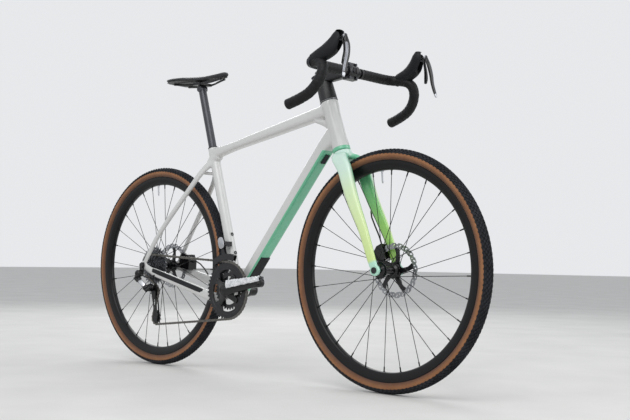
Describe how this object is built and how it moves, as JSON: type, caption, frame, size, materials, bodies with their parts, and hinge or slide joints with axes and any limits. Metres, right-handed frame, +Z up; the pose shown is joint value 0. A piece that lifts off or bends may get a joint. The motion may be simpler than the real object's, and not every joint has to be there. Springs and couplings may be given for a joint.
{
  "type": "gravel bicycle",
  "caption": "Drop-bar bicycle with disc brakes, wide tan-wall tyres and a derailleur drivetrain; wheels, cranks, steering, levers, pads and derailleurs move",
  "frame": {"origin": "on the ground under the middle of the bounding box", "axes": "X forward, Y to the rider's left, Z up"},
  "size_m": [1.7389, 0.5008, 1.0217],
  "materials": {
    "frame_paint": "light warm silver gloss paint; the down tube's underside is mint green",
    "fork_paint": "pale mint to lime gloss paint with fine speckle",
    "black_alloy": "satin black anodised",
    "dark_alloy": "dark grey anodised, silky reflections",
    "silver_alloy": "polished silver",
    "steel": "bare ground steel",
    "black_plastic": "matt black moulded plastic",
    "hose_skin": "black hose and housing jacket",
    "tape": "black cushioned bar tape",
    "hood_rubber": "black textured rubber",
    "saddle_skin": "black synthetic saddle cover",
    "tyre_rubber": "tan sidewalls and black tread",
    "tube_rubber": "black butyl",
    "rim_black": "gloss black",
    "chain_steel": "oiled steel",
    "pad_compound": "brake pad compound on a steel plate"
  },
  "bodies": {
    "frame": {"frame": "frame_paint", "bottle_bosses": "dark_alloy", "frame_bearings": "dark_alloy", "frame_guards": "black_plastic", "seat_clamp": "black_alloy", "derailleur_hanger": "black_alloy", "derailleur_mount": "black_alloy", "rear_axle": "dark_alloy", "rear_caliper": "black_alloy", "frame_cables": "hose_skin", "front_derailleur": "silver_alloy", "chain": "chain_steel"},
    "seatpost": {"seatpost": "black_alloy", "saddle_clamp": "black_alloy", "saddle_rails": "steel", "saddle_base": "black_plastic", "saddle_pad": "saddle_skin"},
    "fork": {"fork": "fork_paint", "headset_cover": "black_plastic", "stem": "black_alloy", "stem_faceplate": "black_alloy", "cockpit_bolts": "steel", "handlebar": "black_alloy", "bar_tape": "tape", "brake_hoods": "hood_rubber", "front_caliper": "black_alloy", "front_hose": "hose_skin", "front_axle": "dark_alloy"},
    "front_wheel": {"front_tyre": "tyre_rubber", "front_inner_tube": "tube_rubber", "front_rim": "rim_black", "front_spokes": "steel", "front_hub": "black_alloy", "front_rotor": "steel"},
    "rear_wheel": {"rear_tyre": "tyre_rubber", "rear_inner_tube": "tube_rubber", "rear_rim": "rim_black", "rear_spokes": "steel", "rear_hub": "black_alloy", "rear_rotor": "steel"},
    "crank": {"crank_right": "black_alloy", "crank_left": "black_alloy", "chainrings": "dark_alloy"},
    "cassette": {"cassette": "steel"},
    "front_derailleur_cage": {"front_derailleur_cage": "steel"},
    "derailleur_link": {"derailleur_link": "silver_alloy"},
    "derailleur_knuckle": {"derailleur_knuckle": "black_alloy"},
    "derailleur_cage": {"derailleur_cage": "black_alloy"},
    "jockey_upper": {"jockey_upper": "black_plastic"},
    "jockey_lower": {"jockey_lower": "black_plastic"},
    "lever_block_right": {"lever_block_right": "dark_alloy"},
    "lever_block_left": {"lever_block_left": "dark_alloy"},
    "brake_lever_right": {"brake_lever_right": "dark_alloy"},
    "brake_lever_left": {"brake_lever_left": "dark_alloy"},
    "shift_paddle_right": {"shift_paddle_right": "dark_alloy"},
    "shift_paddle_left": {"shift_paddle_left": "dark_alloy"},
    "front_pad_outer": {"front_pad_outer": "pad_compound"},
    "front_pad_inner": {"front_pad_inner": "pad_compound"},
    "rear_pad_outer": {"rear_pad_outer": "pad_compound"},
    "rear_pad_inner": {"rear_pad_inner": "pad_compound"}
  },
  "joints": [
    {"name": "steering", "type": "hinge", "parent": "frame", "child": "fork", "pos_m": [0.4714, 0, 0.33431], "axis": [-0.3338, 0, 0.9426], "range_deg": [-75, 75]},
    {"name": "seatpost_slide", "type": "slide", "parent": "frame", "child": "seatpost", "axis": [-0.284, 0, 0.9588], "range_m": [-0.12, 0.03]},
    {"name": "front_wheel_spin", "type": "hinge", "parent": "fork", "child": "front_wheel", "pos_m": [0.51853, 0, 0.351], "axis": [0, 1, 0], "continuous": true},
    {"name": "rear_wheel_spin", "type": "hinge", "parent": "frame", "child": "rear_wheel", "pos_m": [-0.51853, 0, 0.351], "axis": [0, 1, 0], "continuous": true},
    {"name": "crank_spin", "type": "hinge", "parent": "frame", "child": "crank", "pos_m": [-0.10547, 0, 0.275], "axis": [0, 1, 0], "continuous": true, "deforming": ["chain"]},
    {"name": "cassette_spin", "type": "hinge", "parent": "frame", "child": "cassette", "pos_m": [-0.51853, 0, 0.351], "axis": [0, 1, 0], "continuous": true},
    {"name": "derailleur_link_swing", "type": "hinge", "parent": "frame", "child": "derailleur_link", "pos_m": [-0.52453, -0.0922, 0.301], "axis": [0.3898, 0.6637, 0.6384], "range_deg": [-27, 50], "deforming": ["chain"]},
    {"name": "derailleur_knuckle_swing", "type": "hinge", "parent": "derailleur_link", "child": "derailleur_knuckle", "pos_m": [-0.49053, -0.0862, 0.274], "axis": [0.3898, 0.6637, 0.6384], "range_deg": [-50, 27]},
    {"name": "derailleur_cage_swing", "type": "hinge", "parent": "derailleur_knuckle", "child": "derailleur_cage", "pos_m": [-0.49153, 0, 0.273], "axis": [0, 1, 0], "range_deg": [-20, 35], "stiffness_Nm_per_rad": 0.6, "deforming": ["chain"]},
    {"name": "jockey_upper_spin", "type": "hinge", "parent": "derailleur_cage", "child": "jockey_upper", "pos_m": [-0.48453, -0.05, 0.26], "axis": [0, 1, 0], "continuous": true},
    {"name": "jockey_lower_spin", "type": "hinge", "parent": "derailleur_cage", "child": "jockey_lower", "pos_m": [-0.47053, -0.05, 0.168], "axis": [0, 1, 0], "continuous": true},
    {"name": "front_derailleur_swing", "type": "hinge", "parent": "frame", "child": "front_derailleur_cage", "pos_m": [-0.14347, -0.041, 0.427], "axis": [1, 0, 0], "range_deg": [0, 10], "deforming": ["chain"]},
    {"name": "brake_lever_right_pull", "type": "hinge", "parent": "fork", "child": "lever_block_right", "pos_m": [0.49177, -0.187, 0.99445], "axis": [0, 1, 0], "range_deg": [0, 22], "stiffness_Nm_per_rad": 1.2},
    {"name": "brake_lever_right_swing", "type": "hinge", "parent": "lever_block_right", "child": "brake_lever_right", "pos_m": [0.49177, -0.187, 0.99445], "axis": [0.9511, 0, 0.309], "range_deg": [0, 12], "stiffness_Nm_per_rad": 0.8},
    {"name": "shift_paddle_right_swing", "type": "hinge", "parent": "brake_lever_right", "child": "shift_paddle_right", "pos_m": [0.49177, -0.187, 0.99445], "axis": [0.9511, 0, 0.309], "range_deg": [0, 10], "stiffness_Nm_per_rad": 0.5},
    {"name": "brake_lever_left_pull", "type": "hinge", "parent": "fork", "child": "lever_block_left", "pos_m": [0.49177, 0.187, 0.99445], "axis": [0, 1, 0], "range_deg": [0, 22], "stiffness_Nm_per_rad": 1.2},
    {"name": "brake_lever_left_swing", "type": "hinge", "parent": "lever_block_left", "child": "brake_lever_left", "pos_m": [0.49177, 0.187, 0.99445], "axis": [-0.9511, 0, -0.309], "range_deg": [0, 12], "stiffness_Nm_per_rad": 0.8},
    {"name": "shift_paddle_left_swing", "type": "hinge", "parent": "brake_lever_left", "child": "shift_paddle_left", "pos_m": [0.49177, 0.187, 0.99445], "axis": [-0.9511, 0, -0.309], "range_deg": [0, 10], "stiffness_Nm_per_rad": 0.5},
    {"name": "front_pad_outer_slide", "type": "slide", "parent": "fork", "child": "front_pad_outer", "axis": [0, -1, 0], "range_m": [0, 0.0005]},
    {"name": "front_pad_inner_slide", "type": "slide", "parent": "fork", "child": "front_pad_inner", "axis": [0, 1, 0], "range_m": [0, 0.0005]},
    {"name": "rear_pad_outer_slide", "type": "slide", "parent": "frame", "child": "rear_pad_outer", "axis": [0, -1, 0], "range_m": [0, 0.0005]},
    {"name": "rear_pad_inner_slide", "type": "slide", "parent": "frame", "child": "rear_pad_inner", "axis": [0, 1, 0], "range_m": [0, 0.0005]}
  ],
  "couplings": [
    {"joint": "cassette_spin", "follows": "crank_spin", "ratio": 2.4211},
    {"joint": "jockey_upper_spin", "follows": "crank_spin", "ratio": -4.1818},
    {"joint": "jockey_lower_spin", "follows": "crank_spin", "ratio": 4.1818},
    {"joint": "derailleur_knuckle_swing", "follows": "derailleur_link_swing", "ratio": -1},
    {"joint": "front_pad_outer_slide", "follows": "brake_lever_left_pull", "m_per_rad": 0.0013},
    {"joint": "front_pad_inner_slide", "follows": "brake_lever_left_pull", "m_per_rad": 0.0013},
    {"joint": "rear_pad_outer_slide", "follows": "brake_lever_right_pull", "m_per_rad": 0.0013},
    {"joint": "rear_pad_inner_slide", "follows": "brake_lever_right_pull", "m_per_rad": 0.0013}
  ]
}
